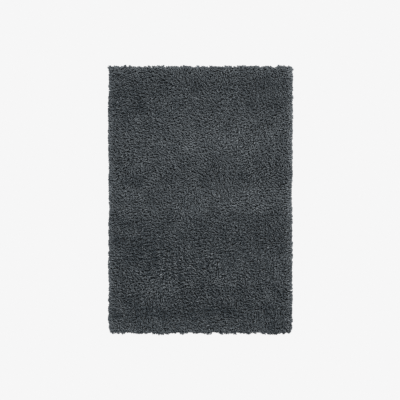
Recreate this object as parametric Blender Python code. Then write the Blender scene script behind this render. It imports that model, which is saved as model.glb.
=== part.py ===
"""A high-pile shag rug, lying flat on the floor.

Metres, +Z up. The origin is on the floor under the middle of the rug, and +Y runs along its length to the
end called "far". The rug is one solid: a lumpy slab of pile on its woven ground, with locks of yarn standing
out all round its rim.
"""

import math
import random
from collections import namedtuple

import bmesh
import bpy
from mathutils import Vector

NAME = "shag_rug"
SEED = 7

# The woven ground as it is cut.
GROUND_WIDTH = 1.330
GROUND_LENGTH = 1.950
HALF_WIDTH = GROUND_WIDTH / 2
HALF_LENGTH = GROUND_LENGTH / 2

# The top surface: its height, the lumps that groups of locks make, and the cells that carry them.
PILE_HEIGHT = 0.030
LUMP_RISE = 0.007
LUMP_SHIFT = 0.007
LUMP_EVENNESS = 0.60
CELLS_ACROSS = 30
CELLS_ALONG = 44
RIM_FALL = 0.003
RIM_FALL_WIDTH = 0.060

# Soft ripples that run across the rug: where the crest or hollow lies, how wide it is, and its rise.
Ripple = namedtuple("Ripple", "along half_width rise")
RIPPLES = (
    Ripple(along=0.690, half_width=0.100, rise=-0.0025),
    Ripple(along=0.270, half_width=0.110, rise=0.0045),
    Ripple(along=0.070, half_width=0.050, rise=-0.0030),
    Ripple(along=-0.110, half_width=0.060, rise=0.0040),
    Ripple(along=-0.440, half_width=0.110, rise=-0.0025),
    Ripple(along=-0.690, half_width=0.060, rise=0.0040),
    Ripple(along=-0.880, half_width=0.050, rise=-0.0025),
)

# The outline's corners: the signs of x and y, and the radius.
Corner = namedtuple("Corner", "x_sign y_sign radius")
CORNERS = (
    Corner(x_sign=-1, y_sign=1, radius=0.014),
    Corner(x_sign=1, y_sign=1, radius=0.042),
    Corner(x_sign=-1, y_sign=-1, radius=0.046),
    Corner(x_sign=1, y_sign=-1, radius=0.048),
)

# Where the edge swells out or draws in: its side, the place along that side, half the width, and how far.
Swell = namedtuple("Swell", "side along half_width out")
SWELLS = (
    Swell(side="far", along=-0.540, half_width=0.045, out=0.0065),
    Swell(side="far", along=-0.320, half_width=0.030, out=0.0035),
    Swell(side="far", along=-0.100, half_width=0.035, out=0.0025),
    Swell(side="far", along=0.200, half_width=0.100, out=-0.0030),
    Swell(side="far", along=0.345, half_width=0.030, out=0.0035),
    Swell(side="far", along=0.620, half_width=0.050, out=0.0045),
    Swell(side="near", along=-0.540, half_width=0.040, out=-0.0045),
    Swell(side="near", along=-0.290, half_width=0.060, out=0.0040),
    Swell(side="near", along=-0.170, half_width=0.025, out=-0.0050),
    Swell(side="near", along=0.125, half_width=0.030, out=-0.0030),
    Swell(side="near", along=0.530, half_width=0.100, out=0.0030),
    Swell(side="left", along=0.540, half_width=0.150, out=0.0045),
    Swell(side="left", along=0.000, half_width=0.250, out=-0.0020),
    Swell(side="left", along=-0.480, half_width=0.040, out=0.0030),
    Swell(side="right", along=0.700, half_width=0.180, out=0.0035),
    Swell(side="right", along=0.000, half_width=0.180, out=-0.0030),
    Swell(side="right", along=-0.700, half_width=0.040, out=-0.0020),
)

# The pile's edge, from the rim of its top down to the floor: how far in from the ground's edge each row of
# points lies, how high, and how uneven. The faces between two rows carry the name of the lower one.
EdgeRow = namedtuple("EdgeRow", "name inset height uneven")
TOP_INSET = 0.026
EDGE_ROWS = (
    EdgeRow(name="shoulder", inset=0.012, height=0.0235, uneven=0.0020),
    EdgeRow(name="upper", inset=0.004, height=0.0115, uneven=0.0010),
    EdgeRow(name="lower", inset=0.000, height=0.0000, uneven=0.0000),
)

# Locks at the rim: how far past the ground's edge they reach, how far the tip curls aside, and each step from
# root to tip as a share of the lock's length, with its width and thickness.
Reach = namedtuple("Reach", "least most curl")
END_REACH = Reach(least=0.007, most=0.019, curl=0.009)
SIDE_REACH = Reach(least=0.007, most=0.014, curl=0.006)
LockStep = namedtuple("LockStep", "share width thickness")
LOCK_STEPS = (
    LockStep(share=0.15, width=0.0125, thickness=0.0085),
    LockStep(share=0.60, width=0.0100, thickness=0.0065),
    LockStep(share=1.00, width=0.0040, thickness=0.0030),
)
UPPER_LOCK_DROOP = 0.009

# Which locks stand in each column of the edge: every column has one at the ends, two of three on the sides.
END_PATTERN = ("upper", "lower")
SIDE_PATTERN = ("upper", "lower", None)

PILE_COLOUR = (0.050, 0.056, 0.061, 1.0)
PILE_ROUGHNESS = 0.95
SHARP_ANGLE = math.radians(70)


def clear_scene():
    for obj in list(bpy.data.objects):
        bpy.data.objects.remove(obj, do_unlink=True)


def corner_at(x, y):
    return next(c for c in CORNERS if c.x_sign * x >= 0 and c.y_sign * y >= 0)


def core_point(x, y, inset=0.0):
    """The centre of the corner's arc for a point in a corner, or the place straight behind a point on a side."""
    radius = max(corner_at(x, y).radius - inset, 0.001)
    most_x = HALF_WIDTH - inset - radius
    most_y = HALF_LENGTH - inset - radius
    return Vector((max(-most_x, min(most_x, x)), max(-most_y, min(most_y, y)), 0))


def outward(x, y):
    """Unit vector that points straight out of the rug's edge at this place."""
    away = Vector((x, y, 0)) - core_point(x, y)
    if away.length > 0:
        return away.normalized()
    return Vector((x, y, 0)).normalized()


def rounded(x, y, inset):
    """Moves a point of the square-cornered grid to its place under the round corners."""
    centre = core_point(x, y, inset)
    away = Vector((x, y, 0)) - centre
    if away.length == 0:
        return Vector((x, y, 0))
    return centre + away * (max(abs(away.x), abs(away.y)) / away.length)


def side_of(x, y):
    """The side that a place on the edge belongs to, and how far along that side it is."""
    if abs(y) / HALF_LENGTH > abs(x) / HALF_WIDTH:
        return ("far" if y > 0 else "near"), x
    return ("right" if x > 0 else "left"), y


def bump(distance, half_width):
    return math.exp(-((distance / half_width) ** 2))


def swell_at(x, y):
    side, along = side_of(x, y)
    return sum(s.out * bump(along - s.along, s.half_width) for s in SWELLS if s.side == side)


def pile_height(x, y):
    """Height of the top surface: level, with its ripples, and lower towards the rim."""
    ripples = sum(r.rise * bump(y - r.along, r.half_width) for r in RIPPLES)
    from_edge = min(HALF_WIDTH - abs(x), HALF_LENGTH - abs(y)) - TOP_INSET
    fall = RIM_FALL * bump(from_edge, RIM_FALL_WIDTH)
    return PILE_HEIGHT + ripples - fall


def make_top(bm, chance):
    """The lumpy top surface. Its rim edges are halved, so that the edge has a column for each lock."""
    bmesh.ops.create_grid(bm, x_segments=CELLS_ACROSS, y_segments=CELLS_ALONG, size=1.0)
    rim = [edge for edge in bm.edges if edge.is_boundary]
    bmesh.ops.subdivide_edges(bm, edges=rim, cuts=1)
    for vert in bm.verts:
        flat = Vector((vert.co.x * (HALF_WIDTH - TOP_INSET), vert.co.y * (HALF_LENGTH - TOP_INSET), 0))
        place = rounded(flat.x, flat.y, TOP_INSET)
        if vert.is_boundary:
            place += outward(place.x, place.y) * swell_at(place.x, place.y)
            lump = chance.uniform(-0.5, 0.5) * LUMP_RISE
        else:
            column = round((vert.co.x + 1) / 2 * CELLS_ACROSS)
            row = round((vert.co.y + 1) / 2 * CELLS_ALONG)
            up = (column + row) % 2 == 0
            if chance.random() > LUMP_EVENNESS:
                up = not up
            place.x += chance.uniform(-1, 1) * LUMP_SHIFT
            place.y += chance.uniform(-1, 1) * LUMP_SHIFT
            lump = (1 if up else -1) * chance.uniform(0.4, 1) * LUMP_RISE
        vert.co = place
        vert.co.z = pile_height(place.x, place.y) + lump
    return [edge for edge in bm.edges if edge.is_boundary]


def make_edge(bm, rim, chance):
    """Rows of faces from the rim of the top down to the floor. Returns each row's faces, by its name."""
    faces = {}
    inset = TOP_INSET
    for row in EDGE_ROWS:
        made = bmesh.ops.extrude_edge_only(bm, edges=rim)["geom"]
        for vert in (item for item in made if isinstance(item, bmesh.types.BMVert)):
            vert.co += outward(vert.co.x, vert.co.y) * (inset - row.inset)
            vert.co.z = row.height + chance.uniform(-1, 1) * row.uneven
        faces[row.name] = [item for item in made if isinstance(item, bmesh.types.BMFace)]
        rim = [item for item in made if isinstance(item, bmesh.types.BMEdge) and item.is_boundary]
        inset = row.inset
    bmesh.ops.holes_fill(bm, edges=rim)
    return faces


def turn_of(face):
    centre = face.calc_center_median()
    return math.atan2(centre.y / HALF_LENGTH, centre.x / HALF_WIDTH)


def inset_of(name):
    """How far in from the ground's edge the middle of a row of faces lies."""
    insets = [TOP_INSET] + [row.inset for row in EDGE_ROWS]
    below = 1 + [row.name for row in EDGE_ROWS].index(name)
    return (insets[below - 1] + insets[below]) / 2


def grow_lock(bm, face, on_floor, to_edge, reach, chance):
    """Draws one face of the edge out into a tapering lock of four sides.

    A lock of the lower row lies level on the floor. One of the upper row droops, clear of the lower ones.
    """
    root = face.calc_center_median()
    out = outward(root.x, root.y)
    aside = Vector((-out.y, out.x, 0))
    length = to_edge + chance.uniform(reach.least, reach.most)
    curl = chance.uniform(-1, 1) * reach.curl
    for step in LOCK_STEPS:
        face = bmesh.ops.extrude_discrete_faces(bm, faces=[face])["faces"][0]
        middle = face.calc_center_median()
        height = step.thickness / 2 if on_floor else root.z - UPPER_LOCK_DROOP * step.share**2
        for vert in face.verts:
            half_width = math.copysign(step.width / 2, (vert.co - middle).dot(aside))
            half_height = math.copysign(step.thickness / 2, vert.co.z - middle.z)
            across = half_width + curl * step.share**2
            vert.co = root + out * (length * step.share) + aside * across
            vert.co.z = height + half_height


def grow_locks(bm, edge_faces, chance):
    """Sets the locks column by column round the rim, in the pattern of the side that they stand on."""
    rows = {name: sorted(faces, key=turn_of) for name, faces in edge_faces.items()}
    for column, faces in enumerate(zip(rows["upper"], rows["lower"])):
        centre = faces[0].calc_center_median()
        at_end = side_of(centre.x, centre.y)[0] in ("far", "near")
        pattern = END_PATTERN if at_end else SIDE_PATTERN
        row = pattern[column % len(pattern)]
        if row is None:
            continue
        face = faces[0] if row == "upper" else faces[1]
        reach = END_REACH if at_end else SIDE_REACH
        grow_lock(bm, face, row == "lower", inset_of(row), reach, chance)


def centre_on_origin(bm):
    for axis in (0, 1):
        places = [vert.co[axis] for vert in bm.verts]
        middle = (min(places) + max(places)) / 2
        for vert in bm.verts:
            vert.co[axis] -= middle


def make_pile_material():
    """Charcoal yarn: matt, with the soft bloom of loose fibre."""
    material = bpy.data.materials.new("charcoal_yarn")
    material.use_nodes = True
    shader = material.node_tree.nodes["Principled BSDF"]
    shader.inputs["Base Color"].default_value = PILE_COLOUR
    shader.inputs["Roughness"].default_value = PILE_ROUGHNESS
    shader.inputs["Metallic"].default_value = 0.0
    return material


def make_rug():
    chance = random.Random(SEED)
    bm = bmesh.new()
    rim = make_top(bm, chance)
    edge_faces = make_edge(bm, rim, chance)
    grow_locks(bm, edge_faces, chance)
    centre_on_origin(bm)
    bmesh.ops.recalc_face_normals(bm, faces=bm.faces)
    mesh = bpy.data.meshes.new(NAME)
    bm.to_mesh(mesh)
    bm.free()
    mesh.shade_smooth()
    mesh.set_sharp_from_angle(angle=SHARP_ANGLE)
    mesh.materials.append(make_pile_material())
    return bpy.data.objects.new(NAME, mesh)


def main():
    clear_scene()
    collection = bpy.data.collections.new("Shag rug")
    bpy.context.scene.collection.children.link(collection)
    collection.objects.link(make_rug())


main()
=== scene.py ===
"""The looks of a high-pile shag rug: every lock of its pile, its ground cloth, and the stage around it.

Metres, +Z up. The rug lies on the floor with its middle at the origin and its length along +Y.
"""

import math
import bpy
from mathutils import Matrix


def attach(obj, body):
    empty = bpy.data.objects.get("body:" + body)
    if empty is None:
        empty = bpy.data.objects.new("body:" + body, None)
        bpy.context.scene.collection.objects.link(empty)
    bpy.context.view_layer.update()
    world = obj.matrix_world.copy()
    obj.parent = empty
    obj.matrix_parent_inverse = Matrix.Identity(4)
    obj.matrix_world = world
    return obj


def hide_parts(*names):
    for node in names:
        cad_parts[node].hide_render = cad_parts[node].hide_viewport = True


bl_info = {
    "name": "Shag rug",
    "version": (1, 0, 0),
    "blender": (4, 5, 0),
    "location": "View3D > Sidebar > Shag rug",
    "description": "A charcoal shag rug with a deep pile of locks, lying flat on a pale floor",
    "category": "Add Mesh",
}

from collections import namedtuple

import bpy
import numpy as np
from bpy.props import FloatProperty, FloatVectorProperty, PointerProperty
from mathutils import Vector

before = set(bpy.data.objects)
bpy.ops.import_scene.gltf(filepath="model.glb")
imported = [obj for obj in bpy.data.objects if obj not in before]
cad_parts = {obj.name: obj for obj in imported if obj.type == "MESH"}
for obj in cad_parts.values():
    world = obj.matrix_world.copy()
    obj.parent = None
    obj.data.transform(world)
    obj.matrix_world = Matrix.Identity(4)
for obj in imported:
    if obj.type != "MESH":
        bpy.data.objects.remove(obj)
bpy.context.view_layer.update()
RUG_NODE = "shag_rug"
BODY = "root"
MM = 0.001

# The ground cloth as it is cut, and the outline's corners: the signs of x and y, the radius, and how much
# further the fringe reaches there.
GROUND_WIDTH = 1.330
GROUND_LENGTH = 1.950
HALF_WIDTH = GROUND_WIDTH / 2
HALF_LENGTH = GROUND_LENGTH / 2
Corner = namedtuple("Corner", "x_sign y_sign radius point")
CORNERS = (
    Corner(x_sign=-1, y_sign=1, radius=0.012, point=0.016),
    Corner(x_sign=1, y_sign=1, radius=0.026, point=0.010),
    Corner(x_sign=-1, y_sign=-1, radius=0.046, point=0.002),
    Corner(x_sign=1, y_sign=-1, radius=0.048, point=0.002),
)

# Where the edge swells out or draws in: its side, the place along that side, half the width, and how far.
Swell = namedtuple("Swell", "side along half_width out")
SWELLS = (
    Swell(side="far", along=-0.540, half_width=0.045, out=0.0065),
    Swell(side="far", along=-0.320, half_width=0.030, out=0.0035),
    Swell(side="far", along=-0.100, half_width=0.035, out=0.0025),
    Swell(side="far", along=0.200, half_width=0.100, out=-0.0030),
    Swell(side="far", along=0.345, half_width=0.030, out=0.0035),
    Swell(side="far", along=0.620, half_width=0.050, out=0.0045),
    Swell(side="near", along=-0.540, half_width=0.040, out=-0.0045),
    Swell(side="near", along=-0.290, half_width=0.060, out=0.0040),
    Swell(side="near", along=-0.170, half_width=0.025, out=-0.0050),
    Swell(side="near", along=0.125, half_width=0.030, out=-0.0030),
    Swell(side="near", along=0.530, half_width=0.100, out=0.0030),
    Swell(side="left", along=0.540, half_width=0.150, out=0.0045),
    Swell(side="left", along=0.000, half_width=0.250, out=-0.0020),
    Swell(side="left", along=-0.480, half_width=0.040, out=0.0030),
    Swell(side="right", along=0.700, half_width=0.180, out=0.0035),
    Swell(side="right", along=0.000, half_width=0.180, out=-0.0030),
    Swell(side="right", along=-0.700, half_width=0.040, out=-0.0020),
)

# Soft ripples across the rug: where the crest or hollow lies, how wide it is, and its rise.
Ripple = namedtuple("Ripple", "along half_width rise")
RIPPLES = (
    Ripple(along=0.690, half_width=0.100, rise=-0.0025),
    Ripple(along=0.270, half_width=0.110, rise=0.0045),
    Ripple(along=0.070, half_width=0.050, rise=-0.0030),
    Ripple(along=-0.110, half_width=0.060, rise=0.0040),
    Ripple(along=-0.440, half_width=0.110, rise=-0.0025),
    Ripple(along=-0.690, half_width=0.060, rise=0.0040),
    Ripple(along=-0.880, half_width=0.050, rise=-0.0025),
)

# Patches of painted light and painted shade, where the locks are painted lighter or darker as if the pile
# showed
# less or more of its shaded roots: the middle, half the sizes, and how much lighter the locks are painted
# there.
Patch = namedtuple("Patch", "across along half_across half_along lighter")
LIGHT_AND_SHADE_PATCHES = (
    Patch(across=0.05, along=0.42, half_across=0.62, half_along=0.16, lighter=0.07),
    Patch(across=0.30, along=0.48, half_across=0.26, half_along=0.14, lighter=0.09),
    Patch(across=-0.08, along=0.42, half_across=0.10, half_along=0.13, lighter=0.10),
    Patch(across=0.29, along=-0.01, half_across=0.32, half_along=0.09, lighter=0.15),
    Patch(across=-0.49, along=-0.02, half_across=0.09, half_along=0.08, lighter=0.06),
    Patch(across=-0.53, along=0.16, half_across=0.12, half_along=0.08, lighter=-0.07),
    Patch(across=-0.50, along=0.72, half_across=0.20, half_along=0.13, lighter=-0.12),
    Patch(across=0.00, along=-0.62, half_across=0.90, half_along=0.42, lighter=-0.11),
    Patch(across=0.00, along=-0.84, half_across=0.90, half_along=0.10, lighter=-0.09),
    Patch(across=-0.45, along=-0.32, half_across=0.20, half_along=0.16, lighter=-0.12),
    Patch(across=0.02, along=-0.24, half_across=0.14, half_along=0.07, lighter=-0.06),
    Patch(across=0.47, along=-0.26, half_across=0.16, half_along=0.08, lighter=-0.07),
    Patch(across=-0.33, along=-0.65, half_across=0.13, half_along=0.05, lighter=0.13),
    Patch(across=-0.42, along=-0.78, half_across=0.14, half_along=0.10, lighter=-0.06),
    Patch(across=0.60, along=0.50, half_across=0.10, half_along=0.40, lighter=0.05),
    Patch(across=0.24, along=-0.60, half_across=0.14, half_along=0.16, lighter=0.07),
    Patch(across=0.00, along=0.96, half_across=0.90, half_along=0.05, lighter=0.07),
    Patch(across=0.60, along=-0.92, half_across=0.10, half_along=0.10, lighter=-0.08),
    Patch(across=0.10, along=-0.90, half_across=0.18, half_along=0.06, lighter=0.06),
    Patch(across=0.50, along=0.76, half_across=0.14, half_along=0.10, lighter=-0.06),
    Patch(across=-0.45, along=-0.42, half_across=0.10, half_along=0.08, lighter=-0.04),
    Patch(across=0.22, along=-0.42, half_across=0.08, half_along=0.08, lighter=-0.05),
    Patch(across=0.42, along=-0.72, half_across=0.10, half_along=0.07, lighter=0.06),
    Patch(across=-0.33, along=-0.50, half_across=0.10, half_along=0.14, lighter=-0.06),
    Patch(across=0.55, along=0.60, half_across=0.08, half_along=0.08, lighter=-0.05),
    Patch(across=-0.30, along=0.30, half_across=0.08, half_along=0.08, lighter=0.05),
    Patch(across=-0.62, along=-0.14, half_across=0.08, half_along=0.07, lighter=-0.05),
)

# Where the pile is ruffled into low, wavy rows across the rug, whose crests are painted lighter than the
# hollows between them, as painted light and shade. A distance across the rug counts for only a share of
# itself, which draws the ruffles out into rows.
RUFFLED = Patch(across=-0.10, along=-0.56, half_across=0.50, half_along=0.24, lighter=0.18)
RUFFLE_SIZE = 0.008
RUFFLE_ACROSS_SHARE = 0.3
RUFFLE_RISE = 0.006

# The forms that a lock takes: how steeply it leaves the ground and lies over, in degrees from upright, how
# far it winds to either side on the way, and where in that winding it starts.
LockForm = namedtuple("LockForm", "name first_lean last_lean wind phase")
LOCK_FORMS = (
    LockForm(name="upright", first_lean=2, last_lean=76, wind=30, phase=0.0),
    LockForm(name="swept", first_lean=18, last_lean=96, wind=20, phase=1.2),
    LockForm(name="hooked", first_lean=0, last_lean=112, wind=46, phase=2.4),
    LockForm(name="wavy", first_lean=12, last_lean=84, wind=70, phase=0.6),
    LockForm(name="lazy", first_lean=26, last_lean=98, wind=40, phase=3.6),
    LockForm(name="coiled", first_lean=8, last_lean=92, wind=90, phase=4.4),
    LockForm(name="straight", first_lean=12, last_lean=72, wind=15, phase=5.2),
    LockForm(name="turned", first_lean=6, last_lean=104, wind=64, phase=2.9),
)
LOCK_SIDES = 4
# The steps of a lock from its root, as shares of its length. The first is hidden deep in the pile.
LOCK_STEPS = (0.40, 0.28, 0.26, 0.06)
# Thickness at the root and after each step, as a share of the full one. The short last step closes the tip.
LOCK_TAPER = (0.80, 1.02, 0.98, 0.78)
# How far the next stretch of a lock is turned about its own line.
LOCK_TWIST = math.radians(10)
# Above 1, a lock stays upright for longer and bends over nearer to its tip.
LATE_BEND = 1.5
# How far a lock's thickness and length may be under and over the full ones, as shares of them.
THICKNESS_RANGE = (-0.25, 0.20)
LENGTH_RANGE = (-0.18, 0.12)
# A lock's height differs by the rug's unevenness, times a random number that is held between these.
HEIGHT_LIMITS = (-2, 0.6)
# How high a lock reaches once it lies over, as a share of its length.
STANDING_SHARE = 0.6
# How low the rings and the tip of a lock may come down to the ground, as shares of half its thickness.
LOW_RING = 0.8
LOW_TIP = 0.4

SEED = 25
PILE_BANDS = 6
# How far a root may be out of line, and how far inside the edge the rows end, as shares of the pitch.
ROOT_JITTER = 0.15
ROOT_MARGIN = 0.4
# The pile lies to the left, and sways from that over the rug. Each lock gives or takes a turn of its own.
LEAN_HEADING = math.radians(180)
LEAN_SWIRL = math.radians(35)
FIELD_JITTER = math.radians(32)
# Lumps where locks stand up or sink together, and the most that lumps, ruffles and ripples rise in all.
LUMP_SIZE = 0.011
LUMP_RISE = 0.0025
MOST_RISE = 0.006
# A soft random field is the sum of this many waves. Their lengths are its size times a number between
# these.
FIELD_WAVES = 14
WAVE_RANGE = (1.4, 3.2)

# How far past the ground's edge the locks of the rim reach, how far they turn aside from straight out, and
# how much lighter the pile is painted towards them, as painted light.
Fringe = namedtuple("Fringe", "least most turn lighter")
END_FRINGE = Fringe(least=0.002, most=0.0245, turn=math.radians(50), lighter=0.07)
SIDE_FRINGE = Fringe(least=0.0115, most=0.0215, turn=math.radians(55), lighter=0.22)
# Rim locks reach out in clumps of this size. The first share is how far a clump strays from the middle of
# the fringe's range, and the second how far each lock does by itself.
CLUMP_SIZE = 0.020
CLUMP_SHARE = 0.30
LONE_SHARE = 0.06
# How many times its own reach a rim lock may be drawn out.
MOST_STRETCH = 2.4
# Over this width inside the edge, the foot of the pile comes down from the top of the ground to the floor.
RIM_WIDTH = 0.012
# The rows of rim locks, from the upper one down: how far inside the edge they are rooted, and their share of
# a lock's height.
RimRow = namedtuple("RimRow", "inset height")
RIM_ROWS = (
    RimRow(inset=0.009, height=1.00),
    RimRow(inset=0.005, height=0.55),
    RimRow(inset=0.002, height=0.20),
)
# How far a rim lock's root may be out of its row.
RIM_SCATTER = 0.0025
# From this far inside the edge the locks come down, over this width, by this share of their height.
DROOP_START = 0.012
DROOP_WIDTH = 0.026
DROOP = 0.72
# No lock comes nearer to the floor than this.
FLOOR_GAP = 0.3 * MM
# Smaller distances from a corner's centre, and smaller reaches, count as these, so none is divided by zero.
LEAST_DISTANCE = 0.3 * MM
LEAST_REACH = 1.0 * MM

# Tones run from the dark yarn, 0, to the light one, 1.
MIDDLE_TONE = 0.292
# The locks' own tones: the spread, and the shape of a gamma distribution, in which most locks are a little
# darker than the mean and a few are much paler.
TONE_SPREAD = 0.085
TONE_SHAPE = 2.0
# How much lighter a lock is painted on a lump than beside it, as painted light on the raised locks.
LUMP_TONE = 0.03
# Soft mottles of painted light and shade, standing in for neighbouring locks that lie open or close together
# alike.
MOTTLE_SIZE = 0.065
MOTTLE_TONE = 0.032
# The pile is painted lighter towards the rim over this width, as painted light, and the locks of the rim
# itself are painted darker by this, as painted shade.
RIM_LIGHT_WIDTH = 0.040
FRINGE_SHADE = 0.14
# A lock is painted darker at its root by this, as painted shade, up to this share of its length.
ROOT_SHADE = 0.05
ROOT_SHADE_END = 0.7

# Six plies of yarn side by side round a lock, which wind round it this many times from root to tip.
PLIES_ROUND = 6
PLY_TWIST = 1.6
# The grooves between the plies are painted darker and their crests lighter by this, as painted shade.
PLY_SHADE = 0.03
PLY_RELIEF = 0.5 * MM
# Fibres run along the plies, side by side, and break up this often along a lock.
FIBRES_IN_PLY = 5
FIBRE_BREAKS = 6
# How far apart in the fibres' pattern two locks are whose tones differ by 1, so that no two look alike.
LOCKS_APART = 60
FIBRE_SHADE = 0.21
FIBRE_RELIEF = 0.5 * MM
# Flecks, where the yarn took more or less of the dye.
FLECK_SIZE = 5 * MM
FLECK_SHADE = 0.21

# The cell that each lock has on the flat map of a band's finish: the middle and half the sizes of its root
# there, and the lower left corner and the sizes of its sides.
ROOT_MIDDLE = np.array((0.50, 0.06))
ROOT_HALF_SIZES = np.array((0.40, 0.04))
SIDES_CORNER = np.array((0.05, 0.15))
SIDES_SIZES = np.array((0.90, 0.80))

GROUND_CELLS_ACROSS = 44
GROUND_CELLS_ALONG = 65
GROUND_THREAD = 3.2 * MM
GROUND_SMOOTH_ANGLE = math.radians(40)
# The share of the weave in the ground's shade, how dark its hollows are painted, as painted shade, and its
# worn patches, 14 to a metre.
WEAVE_SHARE = 0.5
HOLLOW_SHADE = 0.55
WEAR_SIZE = 1 / 14
# How far in from the ground's edge its swells reach.
SWELL_DEPTH = 0.060

SENSOR_WIDTH = 36.0
PIXEL_FILTER = 1.42
# No sample is brighter than this, straight from a light or by way of another surface, so that none leaves
# a speck.
MOST_DIRECT = 4.0
MOST_BOUNCED = 2.0
FLOOR_SIZE = 60.0
# The floor's fine grain, 90 to a metre.
FLOOR_GRAIN = 1 / 90
FLOOR_RELIEF = 0.2 * MM
CEILING_COLOUR = "#f2f6fa"
# The sines of the heights over the horizon at which the walls of the room end and its ceiling starts.
WALL_TOP = 0.30
CEILING_FOOT = 0.50
KEY_COLOUR = "#fffefb"
KEY_SPREAD = math.radians(20)
KEY_PLACE = Vector((1.8, 3.0, 3.4))

# The first and second colour among the inputs of a Mix node that mixes colours, and its mixed colour.
MIX_FIRST = 6
MIX_SECOND = 7
MIX_RESULT = 2


def linear(code):
    """An sRGB hex colour as linear values."""
    values = [int(code[i : i + 2], 16) / 255 for i in (1, 3, 5)]
    return tuple(v / 12.92 if v <= 0.04045 else ((v + 0.055) / 1.055) ** 2.4 for v in values)


class RugSizes(bpy.types.PropertyGroup):
    """The sizes of the rug's yarn and ground."""

    ground_thickness: FloatProperty(
        name="Ground thickness", description="Thickness of the cloth", default=2.5 * MM, unit="LENGTH"
    )
    lock_length: FloatProperty(
        name="Lock length", description="Length of a lock from root to tip", default=32 * MM, unit="LENGTH"
    )
    lock_thickness: FloatProperty(
        name="Lock thickness", description="Thickness at its fullest", default=7.5 * MM, unit="LENGTH"
    )
    lock_pitch: FloatProperty(
        name="Lock pitch", description="Distance from one lock to the next", default=9.5 * MM, unit="LENGTH"
    )
    rim_pitch: FloatProperty(
        name="Rim pitch", description="Distance between rim locks", default=5.6 * MM, unit="LENGTH"
    )
    lean_patch: FloatProperty(
        name="Lean patch", description="Size of an area that lies alike", default=250 * MM, unit="LENGTH"
    )
    unevenness: FloatProperty(
        name="Unevenness", description="Spread of the locks' heights", default=0.12, subtype="FACTOR"
    )


class RugColours(bpy.types.PropertyGroup):
    """The colours of the rug's yarn and ground."""

    dark_yarn: FloatVectorProperty(
        name="Dark yarn", description="Darkest of the mix", subtype="COLOR", default=linear("#343e45")
    )
    light_yarn: FloatVectorProperty(
        name="Light yarn", description="Lightest of the mix", subtype="COLOR", default=linear("#a5acb1")
    )
    ground: FloatVectorProperty(
        name="Ground", description="The woven ground", subtype="COLOR", default=linear("#5e6060")
    )


class StageSettings(bpy.types.PropertyGroup):
    """The camera, the floor and the light."""

    camera_height: FloatProperty(
        name="Camera height", description="Height of the lens above the floor", default=6.0, unit="LENGTH"
    )
    frame_width: FloatProperty(
        name="Frame width", description="Width of the floor in the picture", default=2.955, unit="LENGTH"
    )
    camera_x: FloatProperty(
        name="Camera X", description="Sideways place of the lens", default=-3.6 * MM, unit="LENGTH"
    )
    camera_y: FloatProperty(
        name="Camera Y", description="Lengthways place of the lens", default=0.0, unit="LENGTH"
    )
    floor: FloatVectorProperty(
        name="Floor", description="The pale floor", subtype="COLOR", default=linear("#404040")
    )
    floor_glow: FloatProperty(
        name="Floor glow", description="Strength of the light that comes through the floor", default=0.872
    )
    key_light: FloatProperty(
        name="Key light", description="Strength of the soft key light", default=2.3
    )
    wall_glow: FloatProperty(
        name="Wall glow", description="Strength of the light from the walls", default=0.91
    )
    fill_light: FloatProperty(
        name="Fill light", description="Strength of the light from above", default=0.42
    )


def deselect_all():
    bpy.ops.object.select_all(action="DESELECT")


def turn_selection(angle, axis, centre):
    """Turns the selection by the right-hand rule. With no window the operator turns the other way."""
    bpy.ops.transform.rotate(value=-angle, orient_axis=axis, center_override=centre)


def apply_modifiers(piece):
    bpy.context.view_layer.objects.active = piece
    for modifier in list(piece.modifiers):
        bpy.ops.object.modifier_apply(modifier=modifier.name)


def add_node(tree, kind, inputs=None, **settings):
    """Adds a node with its settings. Each input takes a value, or the output that it is linked to."""
    node = tree.nodes.new(kind)
    for key, value in settings.items():
        setattr(node, key, value)
    for key, value in (inputs or {}).items():
        if isinstance(value, bpy.types.NodeSocket):
            tree.links.new(value, node.inputs[key])
        else:
            node.inputs[key].default_value = value
    return node


def new_material(name):
    material = bpy.data.materials.new(name)
    material.use_nodes = True
    material.node_tree.nodes.clear()
    return material, material.node_tree


def finish_material(tree, surface):
    add_node(tree, "ShaderNodeOutputMaterial", {"Surface": surface.outputs[0]})


def centred_noise(tree, vector, scale, detail):
    """Noise about zero."""
    noise = add_node(tree, "ShaderNodeTexNoise", {"Vector": vector, "Scale": scale, "Detail": detail})
    return add_node(
        tree, "ShaderNodeMath", {0: noise.outputs["Fac"], 1: 0.5}, operation="SUBTRACT"
    ).outputs[0]


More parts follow.
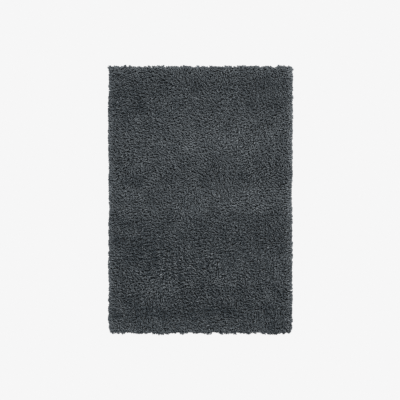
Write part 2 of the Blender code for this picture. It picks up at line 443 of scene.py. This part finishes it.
def make_yarn_material(colours):
    """Heat-set polyester shag yarn. It is matt, with a little sheen along its fibres, and its plies wind
    round each lock. Every lock has a tone of its own, with painted light and shade mixed in, and is painted
    darker at its root, as painted shade from the other locks; the grooves between its plies are painted a
    little darker, as painted shade."""
    material, tree = new_material("heat_set_shag_yarn")
    tone = add_node(tree, "ShaderNodeAttribute", attribute_name="tone").outputs["Fac"]
    place = add_node(tree, "ShaderNodeUVMap", uv_map="yarn").outputs["UV"]
    place = add_node(tree, "ShaderNodeSeparateXYZ", {0: place})
    around = add_node(
        tree, "ShaderNodeMath", {0: place.outputs["X"], 1: PLIES_ROUND * math.tau}, operation="MULTIPLY"
    ).outputs[0]
    winding = add_node(
        tree,
        "ShaderNodeMath",
        {0: place.outputs["Y"], 1: PLY_TWIST * PLIES_ROUND * math.tau, 2: around},
        operation="MULTIPLY_ADD",
    ).outputs[0]
    plies = add_node(tree, "ShaderNodeMath", {0: winding}, operation="SINE").outputs[0]
    spot = add_node(tree, "ShaderNodeTexCoord").outputs["Object"]
    flecks = centred_noise(tree, spot, scale=1 / FLECK_SIZE, detail=2.0)
    across_fibres = add_node(
        tree, "ShaderNodeMath", {0: winding, 1: FIBRES_IN_PLY / math.tau}, operation="MULTIPLY"
    ).outputs[0]
    along_fibres = add_node(
        tree, "ShaderNodeMath", {0: place.outputs["Y"], 1: FIBRE_BREAKS}, operation="MULTIPLY"
    ).outputs[0]
    apart = add_node(tree, "ShaderNodeMath", {0: tone, 1: LOCKS_APART}, operation="MULTIPLY").outputs[0]
    fibre_place = add_node(
        tree, "ShaderNodeCombineXYZ", {0: across_fibres, 1: along_fibres, 2: apart}
    ).outputs[0]
    fibres = centred_noise(tree, fibre_place, scale=1.0, detail=3.0)
    # Painted shade at the root of each lock.
    root = add_node(
        tree,
        "ShaderNodeMapRange",
        {"Value": place.outputs["Y"], "From Max": ROOT_SHADE_END, "To Min": ROOT_SHADE, "To Max": 0.0},
        interpolation_type="SMOOTHSTEP",
    ).outputs[0]
    shade = add_node(tree, "ShaderNodeMath", {0: tone, 1: root}, operation="SUBTRACT").outputs[0]
    # The plies' grooves are painted darker and their crests lighter, as painted shade; the fibres and flecks
    # are the yarn's own.
    for detail, share in ((plies, PLY_SHADE), (fibres, FIBRE_SHADE), (flecks, FLECK_SHADE)):
        shade = add_node(
            tree, "ShaderNodeMath", {0: detail, 1: share, 2: shade}, operation="MULTIPLY_ADD"
        ).outputs[0]
    colour = add_node(
        tree,
        "ShaderNodeMix",
        {0: shade, MIX_FIRST: (*colours.dark_yarn, 1), MIX_SECOND: (*colours.light_yarn, 1)},
        data_type="RGBA",
    ).outputs[MIX_RESULT]
    fine = add_node(
        tree, "ShaderNodeBump", {"Height": fibres, "Strength": 0.6, "Distance": FIBRE_RELIEF}
    ).outputs[0]
    relief = add_node(
        tree, "ShaderNodeBump", {"Height": plies, "Strength": 0.6, "Distance": PLY_RELIEF, "Normal": fine}
    ).outputs[0]
    surface = add_node(
        tree,
        "ShaderNodeBsdfPrincipled",
        {
            "Base Color": colour,
            "Roughness": 0.78,
            "Specular IOR Level": 0.25,
            "Sheen Weight": 0.12,
            "Sheen Roughness": 0.5,
            "Normal": relief,
        },
    )
    finish_material(tree, surface)
    return material


def make_ground_material(colours):
    """Woven jute and polypropylene ground cloth, dyed charcoal: dull and dry, with its threads a little
    proud."""
    material, tree = new_material("woven_ground_cloth")
    spot = add_node(tree, "ShaderNodeTexCoord").outputs["Object"]
    # A Wave texture of scale 1 has a band every tenth of pi.
    scale = math.pi / 10 / (2 * GROUND_THREAD)
    bands = [
        add_node(
            tree,
            "ShaderNodeTexWave",
            {"Vector": spot, "Scale": scale, "Distortion": 0.4, "Detail": 1.0},
            bands_direction=way,
        ).outputs["Fac"]
        for way in ("X", "Y")
    ]
    weave = add_node(tree, "ShaderNodeMath", {0: bands[0], 1: bands[1]}, operation="MULTIPLY").outputs[0]
    wear = add_node(
        tree, "ShaderNodeTexNoise", {"Vector": spot, "Scale": 1 / WEAR_SIZE, "Detail": 4.0, "Roughness": 0.6}
    ).outputs["Fac"]
    shade = add_node(
        tree, "ShaderNodeMath", {0: weave, 1: WEAVE_SHARE, 2: wear}, operation="MULTIPLY_ADD"
    ).outputs[0]
    # The weave's hollows are painted darker, as painted shade; the worn patches are the cloth's own.
    dark = tuple(value * HOLLOW_SHADE for value in colours.ground)
    colour = add_node(
        tree,
        "ShaderNodeMix",
        {0: shade, MIX_FIRST: (*dark, 1), MIX_SECOND: (*colours.ground, 1)},
        data_type="RGBA",
    ).outputs[MIX_RESULT]
    relief = add_node(
        tree, "ShaderNodeBump", {"Height": weave, "Strength": 0.7, "Distance": GROUND_THREAD / 4}
    ).outputs[0]
    surface = add_node(
        tree,
        "ShaderNodeBsdfPrincipled",
        {"Base Color": colour, "Roughness": 0.92, "Specular IOR Level": 0.15, "Normal": relief},
    )
    finish_material(tree, surface)
    return material


def make_floor_material(stage):
    """A sheet of white acrylic, lit a little from below, so that nothing on it throws a hard shadow."""
    material, tree = new_material("white_acrylic_floor")
    spot = add_node(tree, "ShaderNodeTexCoord").outputs["Object"]
    grain = add_node(
        tree, "ShaderNodeTexNoise", {"Vector": spot, "Scale": 1 / FLOOR_GRAIN, "Detail": 2.0}
    ).outputs["Fac"]
    relief = add_node(
        tree, "ShaderNodeBump", {"Height": grain, "Strength": 0.05, "Distance": FLOOR_RELIEF}
    ).outputs[0]
    surface = add_node(
        tree,
        "ShaderNodeBsdfPrincipled",
        {
            "Base Color": (*stage.floor, 1),
            "Roughness": 0.85,
            "Specular IOR Level": 0.0,
            "Emission Color": (1, 1, 1, 1),
            "Emission Strength": stage.floor_glow,
            "Normal": relief,
        },
    )
    finish_material(tree, surface)
    # The floor's glow reaches the pile only at its rim, so no samples go to it by themselves.
    material.cycles.emission_sampling = "NONE"
    return material


def make_room(stage):
    """A room with pale walls that glow as the floor does, and a dimmer ceiling above them."""
    world = bpy.data.worlds.new("pale_room")
    world.use_nodes = True
    tree = world.node_tree
    tree.nodes.clear()
    way = add_node(tree, "ShaderNodeTexCoord").outputs["Generated"]
    height = add_node(tree, "ShaderNodeSeparateXYZ", {0: way}).outputs["Z"]
    up = add_node(
        tree,
        "ShaderNodeMapRange",
        {"Value": height, "From Min": WALL_TOP, "From Max": CEILING_FOOT},
        interpolation_type="SMOOTHSTEP",
    ).outputs[0]
    walls = (stage.wall_glow,) * 3
    ceiling = tuple(stage.fill_light * value for value in linear(CEILING_COLOUR))
    colour = add_node(
        tree, "ShaderNodeMix", {0: up, MIX_FIRST: (*walls, 1), MIX_SECOND: (*ceiling, 1)}, data_type="RGBA"
    ).outputs[MIX_RESULT]
    light = add_node(tree, "ShaderNodeBackground", {"Color": colour})
    add_node(tree, "ShaderNodeOutputWorld", {"Surface": light.outputs[0]})
    return world


def swell_at(x, y):
    """How far the edge swells out nearest to each place."""
    at_end = np.abs(y) - HALF_LENGTH > np.abs(x) - HALF_WIDTH
    sides = {
        "far": at_end & (y > 0),
        "near": at_end & (y <= 0),
        "right": ~at_end & (x > 0),
        "left": ~at_end & (x <= 0),
    }
    total = np.zeros_like(x)
    for swell in SWELLS:
        place = x if swell.side in ("far", "near") else y
        bump = swell.out * np.exp(-(((place - swell.along) / swell.half_width) ** 2))
        total += np.where(sides[swell.side], bump, 0)
    return total


def corner_at(x, y, name):
    """A number of the corner in the quarter that each place lies in."""
    value = np.zeros_like(x)
    for corner in CORNERS:
        inside = (corner.x_sign * x >= 0) & (corner.y_sign * y >= 0)
        value = np.where(inside, getattr(corner, name), value)
    return value


def edge_distance(x, y):
    """How far past the ground's edge each place is, below zero inside, and the way straight outwards."""
    radius = corner_at(x, y, "radius")
    across = np.abs(x) - (HALF_WIDTH - radius)
    along = np.abs(y) - (HALF_LENGTH - radius)
    corner = np.hypot(np.maximum(across, 0), np.maximum(along, 0))
    distance = corner + np.minimum(np.maximum(across, along), 0) - radius
    in_corner = (across > 0) & (along > 0)
    out_x = np.where(in_corner, across / np.maximum(corner, LEAST_DISTANCE), across >= along) * np.sign(x)
    out_y = np.where(in_corner, along / np.maximum(corner, LEAST_DISTANCE), across < along) * np.sign(y)
    return distance - swell_at(x, y), out_x, out_y


def smooth_step(value):
    value = np.clip(value, 0, 1)
    return value * value * (3 - 2 * value)


def smooth_field(x, y, size, chance):
    """A soft random field of unit spread, with patches of about the given size."""
    total = np.zeros_like(x)
    for _ in range(FIELD_WAVES):
        turn = chance.uniform(0, math.tau)
        pitch = math.tau / (size * chance.uniform(*WAVE_RANGE))
        total += np.cos((x * math.cos(turn) + y * math.sin(turn)) * pitch + chance.uniform(0, math.tau))
    return total / math.sqrt(FIELD_WAVES / 2)


def ripple_at(y):
    return sum(ripple.rise * np.exp(-(((y - ripple.along) / ripple.half_width) ** 2)) for ripple in RIPPLES)


def share_of(patch, x, y):
    """How much each place belongs to a patch, which fades out from 1 in its middle."""
    across = (x - patch.across) / patch.half_across
    along = (y - patch.along) / patch.half_along
    return np.exp(-(across**2) - along**2)


def model_ground(sizes):
    """The woven ground cloth: a flat sheet with rounded corners, its edge as uneven as the rug's."""
    deselect_all()
    bpy.ops.mesh.primitive_grid_add(
        x_subdivisions=GROUND_CELLS_ACROSS, y_subdivisions=GROUND_CELLS_ALONG, size=1, location=(0, 0, 0)
    )
    ground = bpy.context.object
    bpy.ops.object.mode_set(mode="EDIT")
    bpy.ops.mesh.select_all(action="SELECT")
    bpy.ops.transform.resize(value=(GROUND_WIDTH, GROUND_LENGTH, 1))
    bpy.ops.object.mode_set(mode="OBJECT")
    for vertex in ground.data.vertices:
        vertex.co.xy = rounded_place(vertex.co.x, vertex.co.y)
    place = np.array([vertex.co.xy for vertex in ground.data.vertices])
    distance, out_x, out_y = edge_distance(place[:, 0], place[:, 1])
    swell = swell_at(place[:, 0], place[:, 1]) * smooth_step(1 + distance / SWELL_DEPTH)
    for vertex, step, x, y in zip(ground.data.vertices, swell, out_x, out_y):
        vertex.co.x += step * x
        vertex.co.y += step * y
    body = ground.modifiers.new("thickness", "SOLIDIFY")
    body.thickness = sizes.ground_thickness
    body.offset = 1
    apply_modifiers(ground)
    ground.name = "ground"
    bpy.ops.object.shade_smooth_by_angle(angle=GROUND_SMOOTH_ANGLE)
    return ground


def rounded_place(x, y):
    """Draws a square corner in to a round one."""
    for corner in CORNERS:
        across = (corner.x_sign * x - HALF_WIDTH) / corner.radius + 1
        along = (corner.y_sign * y - HALF_LENGTH) / corner.radius + 1
        if across > 0 and along > 0:
            round_across = across * math.sqrt(1 - along**2 / 2)
            round_along = along * math.sqrt(1 - across**2 / 2)
            x = corner.x_sign * (HALF_WIDTH + corner.radius * (round_across - 1))
            y = corner.y_sign * (HALF_LENGTH + corner.radius * (round_along - 1))
    return x, y


def model_lock(form, length, thickness):
    """One lock, standing on its root at the origin and lying over towards +X."""
    deselect_all()
    bpy.ops.mesh.primitive_circle_add(
        vertices=LOCK_SIDES, radius=thickness / 2 * LOCK_TAPER[0], fill_type="NGON", location=(0, 0, 0)
    )
    lock = bpy.context.object
    lock.name = form.name
    bpy.ops.object.mode_set(mode="EDIT")
    bpy.ops.mesh.select_all(action="SELECT")
    centre = Vector()
    lean = heading = 0.0
    for step, stride in enumerate(LOCK_STEPS, 1):
        share = sum(LOCK_STEPS[:step]) - stride / 2
        new_lean = math.radians(form.first_lean + (form.last_lean - form.first_lean) * share**LATE_BEND)
        new_heading = math.radians(form.wind) * math.sin(form.phase + math.tau * share)
        flat_step, rise = math.sin(new_lean), math.cos(new_lean)
        move = Vector((flat_step * math.cos(new_heading), flat_step * math.sin(new_heading), rise))
        move *= length * stride
        bpy.ops.mesh.extrude_region_move(TRANSFORM_OT_translate={"value": move})
        centre = centre + move
        if step == len(LOCK_STEPS):
            bpy.ops.mesh.merge(type="CENTER")
            break
        turn_selection(-heading, "Z", centre)
        turn_selection(-lean, "Y", centre)
        turn_selection(LOCK_TWIST, "Z", centre)
        turn_selection(new_lean, "Y", centre)
        turn_selection(new_heading, "Z", centre)
        growth = LOCK_TAPER[step] / LOCK_TAPER[step - 1]
        bpy.ops.transform.resize(value=(growth, growth, growth), center_override=centre)
        lean, heading = new_lean, new_heading
    bpy.ops.object.mode_set(mode="OBJECT")
    return lock


def lock_faces(lock):
    """The faces of a lock as its points' numbers, and each corner's place round and along it."""
    tip = LOCK_SIDES * len(LOCK_STEPS)
    ends = np.cumsum((0, *LOCK_STEPS))
    faces, places = [], []
    for polygon in lock.data.polygons:
        corners = list(polygon.vertices)
        sides = {corner % LOCK_SIDES for corner in corners if corner != tip}
        wraps = sides == {0, LOCK_SIDES - 1}
        around = [corner % LOCK_SIDES or LOCK_SIDES * wraps for corner in corners]
        if tip in corners:
            others = [turn for turn, corner in zip(around, corners) if corner != tip]
            around[corners.index(tip)] = sum(others) / len(others)
        along = [ends[corner // LOCK_SIDES] for corner in corners]
        faces.append(corners)
        places.append(np.stack([np.array(around) / LOCK_SIDES, along], axis=-1))
    return faces, np.concatenate(places)


def field_roots(sizes, chance):
    """Roots in staggered rows over the whole ground, a little out of line."""
    columns = round(GROUND_WIDTH / sizes.lock_pitch)
    rows = round(GROUND_LENGTH / sizes.lock_pitch)
    column, row = (grid.ravel() for grid in np.meshgrid(np.arange(columns), np.arange(rows)))
    x = ((column + 0.25 + 0.5 * (row % 2)) / columns - 0.5) * GROUND_WIDTH
    y = ((row + 0.5) / rows - 0.5) * GROUND_LENGTH
    x = x + ROOT_JITTER * chance.uniform(-1, 1, x.size) * sizes.lock_pitch
    y = y + ROOT_JITTER * chance.uniform(-1, 1, y.size) * sizes.lock_pitch
    inside = edge_distance(x, y)[0] < -ROOT_MARGIN * sizes.lock_pitch
    return x[inside], y[inside]


def rim_roots(sizes, inset, chance):
    """Roots in a line inside the ground's edge, all the way round."""
    stops = np.cumsum([0, GROUND_WIDTH, GROUND_LENGTH, GROUND_WIDTH, GROUND_LENGTH])
    walk = np.arange(0, stops[-1], sizes.rim_pitch)
    x = np.interp(walk, stops, HALF_WIDTH * np.array([-1, 1, 1, -1, -1]))
    y = np.interp(walk, stops, HALF_LENGTH * np.array([-1, -1, 1, 1, -1]))
    distance, out_x, out_y = edge_distance(x, y)
    step = distance + inset + RIM_SCATTER * chance.uniform(-1, 1, x.size)
    return x - out_x * step, y - out_y * step


def lock_points(forms, x, y, heading, sizes, chance):
    """The locks' forms, turned to their headings and stood on their roots: the centres of their rings, and
    the rings' points about them."""
    count = len(x)
    points = forms[chance.integers(len(forms), size=count)]
    rings = points[:, :-1].reshape(count, len(LOCK_STEPS), LOCK_SIDES, 3)
    centres = np.concatenate([rings.mean(axis=2), points[:, -1:]], axis=1)
    offsets = (rings - centres[:, :-1, None]) * (1 + chance.uniform(*THICKNESS_RANGE, (count, 1, 1, 1)))
    length = 1 + chance.uniform(*LENGTH_RANGE, (count, 1, 1))
    height = 1 + sizes.unevenness * chance.normal(0, 1, (count, 1)).clip(*HEIGHT_LIMITS)
    centres = centres * length
    centres[..., 2] *= height
    turn = np.zeros((count, 3, 3))
    turn[:, 0, 0] = turn[:, 1, 1] = np.cos(heading)
    turn[:, 0, 1] = np.sin(heading)
    turn[:, 1, 0] = -np.sin(heading)
    turn[:, 2, 2] = 1
    centres = centres @ turn
    offsets = (offsets.reshape(count, -1, 3) @ turn).reshape(offsets.shape)
    centres[..., 0] += x[:, None]
    centres[..., 1] += y[:, None]
    return centres, offsets


def fringe_at(out_y, name):
    """A number of the rim's fringe, blended from the sides' to the ends' round the corners."""
    side, end = getattr(SIDE_FRINGE, name), getattr(END_FRINGE, name)
    return side + (end - side) * out_y**2


def trim_fringe(centres, offsets, x, y, at_rim, chance):
    """Brings each lock of the rim out to a limit of its own, and draws in any other that would reach past
    one."""
    root, out_x, out_y = edge_distance(x, y)
    least, most = fringe_at(out_y, "least"), fringe_at(out_y, "most")
    share = 0.5 + CLUMP_SHARE * smooth_field(x, y, CLUMP_SIZE, chance)
    share += LONE_SHARE * chance.uniform(-1, 1, x.size)
    # This is 1 halfway round a corner and 0 along a side.
    diagonal = np.abs(2 * out_x * out_y)
    limit = least + (most - least) * share.clip(0, 1) + corner_at(x, y, "point") * diagonal
    out = np.stack([out_x, out_y], axis=-1)[:, None]
    reach = ((centres[..., :2] - centres[:, :1, :2]) * out).sum(axis=-1)
    half_thickness = np.linalg.norm(offsets, axis=-1).mean(axis=(1, 2))
    room = np.maximum(limit - half_thickness - root, LEAST_REACH)
    most_kept = np.where(at_rim, MOST_STRETCH, 1)
    kept = np.minimum(room / np.maximum(reach.max(axis=1), LEAST_REACH), most_kept)
    centres[..., :2] -= (reach * (1 - kept[:, None]))[..., None] * out
    return centres


def lay_down(centres, offsets, rise, share, sizes):
    """Raises the locks on the pile's lumps, and lets those past the ground's edge down to the floor."""
    distance = edge_distance(centres[..., 0], centres[..., 1])[0]
    height = centres[..., 2] * (1 + rise / (STANDING_SHARE * sizes.lock_length))[:, None]
    height *= share[:, None] * (1 - DROOP * smooth_step((distance + DROOP_START) / DROOP_WIDTH))
    base = sizes.ground_thickness * np.clip(-distance / RIM_WIDTH, 0, 1)
    half_thickness = np.linalg.norm(offsets, axis=-1).mean(axis=2)
    centres[..., 2] = base + height
    least_ring = base[:, 1:-1] + LOW_RING * half_thickness[:, 1:]
    least_tip = base[:, -1] + LOW_TIP * half_thickness[:, -1]
    centres[:, 1:-1, 2] = np.maximum(centres[:, 1:-1, 2], least_ring)
    centres[:, -1, 2] = np.maximum(centres[:, -1, 2], least_tip)
    return centres


def lay_pile(forms, sizes, chance):
    """Every point of every lock, lock by lock from the near end to the far one, and each lock's tone."""
    rows = [field_roots(sizes, chance)] + [rim_roots(sizes, row.inset, chance) for row in RIM_ROWS]
    x, y = np.concatenate(rows, axis=1)
    share = np.repeat([1.0] + [row.height for row in RIM_ROWS], [len(row[0]) for row in rows])
    at_rim = np.arange(x.size) >= len(rows[0][0])
    distance, out_x, out_y = edge_distance(x, y)
    swirl = LEAN_SWIRL * smooth_field(x, y, sizes.lean_patch, chance)
    heading = LEAN_HEADING + swirl + FIELD_JITTER * chance.normal(0, 1, x.size)
    outward = np.arctan2(out_y, out_x) + fringe_at(out_y, "turn") * chance.uniform(-1, 1, x.size)
    heading = np.where(at_rim, outward, heading)
    lumps = smooth_field(x, y, LUMP_SIZE, chance)
    ruffles = share_of(RUFFLED, x, y) * smooth_field(RUFFLE_ACROSS_SHARE * x, y, RUFFLE_SIZE, chance)
    rise = (LUMP_RISE * lumps + RUFFLE_RISE * ruffles + ripple_at(y)).clip(-MOST_RISE, MOST_RISE)
    centres, offsets = lock_points(forms, x, y, heading, sizes, chance)
    centres = trim_fringe(centres, offsets, x, y, at_rim, chance)
    centres = lay_down(centres, offsets, rise, share, sizes)
    rings = (centres[:, :-1, None] + offsets).reshape(len(x), -1, 3)
    points = np.concatenate([rings, centres[:, -1:]], axis=1)
    points[..., 2] = np.maximum(points[..., 2], FLOOR_GAP)
    own = (chance.gamma(TONE_SHAPE, 1, x.size) - TONE_SHAPE) / math.sqrt(TONE_SHAPE)
    # Each lock's own tone, with painted light on the lumps and the ruffles' crests and painted shade beside
    # them.
    tone = MIDDLE_TONE + TONE_SPREAD * own + LUMP_TONE * lumps + RUFFLED.lighter * ruffles
    # Mottles of painted light and shade.
    tone += MOTTLE_TONE * smooth_field(x, y, MOTTLE_SIZE, chance)
    # The patches' painted light and painted shade.
    tone += sum(patch.lighter * share_of(patch, x, y) for patch in LIGHT_AND_SHADE_PATCHES)
    # Painted light towards the rim, and painted shade on the rim's own locks.
    near_rim = smooth_step(1 + distance / RIM_LIGHT_WIDTH)
    tone += fringe_at(out_y, "lighter") * near_rim - FRINGE_SHADE * at_rim
    order = np.argsort(y, kind="stable")
    return points[order], np.clip(tone[order], 0, 1)


def sheet_places(faces, places, count):
    """Each corner's place on the flat map of a band's finish, where every lock has a cell of its own."""
    cells = math.ceil(math.sqrt(count))
    is_root = np.concatenate([[max(face) < LOCK_SIDES] * len(face) for face in faces])[:, None]
    turn = places[:, 0] * math.tau
    root = ROOT_MIDDLE + ROOT_HALF_SIZES * np.stack([np.cos(turn), np.sin(turn)], axis=-1)
    side = SIDES_CORNER + SIDES_SIZES * places
    number = np.arange(count)
    cell = np.stack([number % cells, number // cells], axis=-1)[:, None]
    return (cell + np.where(is_root, root, side)) / cells


def join_locks(name, points, tone, faces, places):
    """One mesh of many locks."""
    count, size = points.shape[:2]
    number = np.arange(count)[:, None]
    corners = np.concatenate(faces)
    starts = np.cumsum([0] + [len(face) for face in faces[:-1]])
    mesh = bpy.data.meshes.new(name)
    mesh.vertices.add(count * size)
    mesh.vertices.foreach_set("co", points.astype(np.float32).ravel())
    mesh.loops.add(count * len(corners))
    mesh.loops.foreach_set("vertex_index", (number * size + corners).astype(np.int32).ravel())
    mesh.polygons.add(count * len(faces))
    mesh.polygons.foreach_set("loop_start", (number * len(corners) + starts).astype(np.int32).ravel())
    mesh.update(calc_edges=True)
    mesh.shade_smooth()
    yarn_map = mesh.uv_layers.new(name="yarn")
    yarn_map.data.foreach_set("uv", np.tile(places, (count, 1)).astype(np.float32).ravel())
    finish_map = mesh.uv_layers.new(name="OFBake")
    finish_map.data.foreach_set("uv", sheet_places(faces, places, count).astype(np.float32).ravel())
    shade = mesh.attributes.new("tone", "FLOAT", "POINT")
    shade.data.foreach_set("value", np.repeat(tone, size).astype(np.float32))
    band = bpy.data.objects.new(name, mesh)
    bpy.context.scene.collection.objects.link(band)
    return band


class RUG_OT_pile(bpy.types.Operator):
    """Tufts the ground with the whole pile, in bands from the near end to the far one"""

    bl_idname = "shag_rug.pile"
    bl_label = "Pile"

    def execute(self, context):
        scene = context.scene
        sizes = scene.rug_sizes
        locks = [model_lock(form, sizes.lock_length, sizes.lock_thickness) for form in LOCK_FORMS]
        forms = np.array([[vertex.co for vertex in lock.data.vertices] for lock in locks])
        if forms.shape[1] != LOCK_SIDES * len(LOCK_STEPS) + 1:
            raise RuntimeError("a lock isn't made of whole rings and a tip")
        faces, places = lock_faces(locks[0])
        for lock in locks:
            bpy.data.objects.remove(lock)
        points, tone = lay_pile(forms, sizes, np.random.default_rng(SEED))
        yarn = make_yarn_material(scene.rug_colours)
        shares = zip(np.array_split(points, PILE_BANDS), np.array_split(tone, PILE_BANDS))
        for number, (band_points, band_tone) in enumerate(shares, 1):
            band = join_locks(f"pile_band_{number}", band_points, band_tone, faces, places)
            band.data.materials.append(yarn)
            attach(band, BODY)
            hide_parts(RUG_NODE)
        return {"FINISHED"}


class RUG_OT_ground(bpy.types.Operator):
    """Lays the woven ground cloth that the pile is tufted into"""

    bl_idname = "shag_rug.ground"
    bl_label = "Ground cloth"

    def execute(self, context):
        scene = context.scene
        ground = model_ground(scene.rug_sizes)
        ground.data.materials.append(make_ground_material(scene.rug_colours))
        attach(ground, BODY)
        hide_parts(RUG_NODE)
        return {"FINISHED"}


class RUG_OT_stage(bpy.types.Operator):
    """Sets the pale floor, the soft light and the camera straight above"""

    bl_idname = "shag_rug.stage"
    bl_label = "Stage"

    def execute(self, context):
        scene = context.scene
        stage = scene.rug_stage
        deselect_all()
        bpy.ops.mesh.primitive_plane_add(size=FLOOR_SIZE, location=(0, 0, 0))
        floor = context.object
        floor.name = "floor"
        floor.data.materials.append(make_floor_material(stage))

        scene.world = make_room(stage)

        bpy.ops.object.light_add(type="SUN", location=KEY_PLACE)
        key = context.object
        key.name = "key_light"
        key.data.angle = KEY_SPREAD
        key.data.energy = stage.key_light
        key.data.color = linear(KEY_COLOUR)
        key.rotation_euler = (-KEY_PLACE).to_track_quat("-Z", "Y").to_euler()

        bpy.ops.object.camera_add(location=(stage.camera_x, stage.camera_y, stage.camera_height))
        camera = context.object
        camera.name = "camera_above"
        camera.rotation_euler = (0, 0, 0)
        camera.data.sensor_width = SENSOR_WIDTH
        camera.data.lens = SENSOR_WIDTH * stage.camera_height / stage.frame_width
        scene.camera = camera
        scene.view_settings.view_transform = "Standard"
        # A denoiser takes locks that are a pixel thick for noise, and blurs them.
        scene.cycles.use_denoising = False
        scene.cycles.filter_width = PIXEL_FILTER
        scene.cycles.sample_clamp_direct = MOST_DIRECT
        scene.cycles.sample_clamp_indirect = MOST_BOUNCED
        return {"FINISHED"}


class RUG_PT_panel(bpy.types.Panel):
    """Lists what makes the rug, with its sizes and colours"""

    bl_idname = "RUG_PT_panel"
    bl_label = "Shag rug"
    bl_space_type = "VIEW_3D"
    bl_region_type = "UI"
    bl_category = "Shag rug"

    def draw(self, context):
        scene = context.scene
        for title, group in (
            ("Sizes", scene.rug_sizes),
            ("Colours", scene.rug_colours),
            ("Stage", scene.rug_stage),
        ):
            box = self.layout.box()
            box.label(text=title)
            for name in group.bl_rna.properties.keys():
                if name not in ("rna_type", "name"):
                    box.prop(group, name)
        for step in STEPS:
            self.layout.operator(step.bl_idname)


STEPS = (RUG_OT_pile, RUG_OT_ground, RUG_OT_stage)
GROUPS = {"rug_sizes": RugSizes, "rug_colours": RugColours, "rug_stage": StageSettings}


def register():
    for kind in (*GROUPS.values(), *STEPS, RUG_PT_panel):
        bpy.utils.register_class(kind)
    for name, group in GROUPS.items():
        setattr(bpy.types.Scene, name, PointerProperty(type=group))


def unregister():
    for name in GROUPS:
        delattr(bpy.types.Scene, name)
    for kind in reversed((*GROUPS.values(), *STEPS, RUG_PT_panel)):
        bpy.utils.unregister_class(kind)


def main():
    register()
    bpy.ops.shag_rug.pile()
    bpy.ops.shag_rug.ground()
    bpy.ops.shag_rug.stage()


if __name__ == "__main__":
    main()
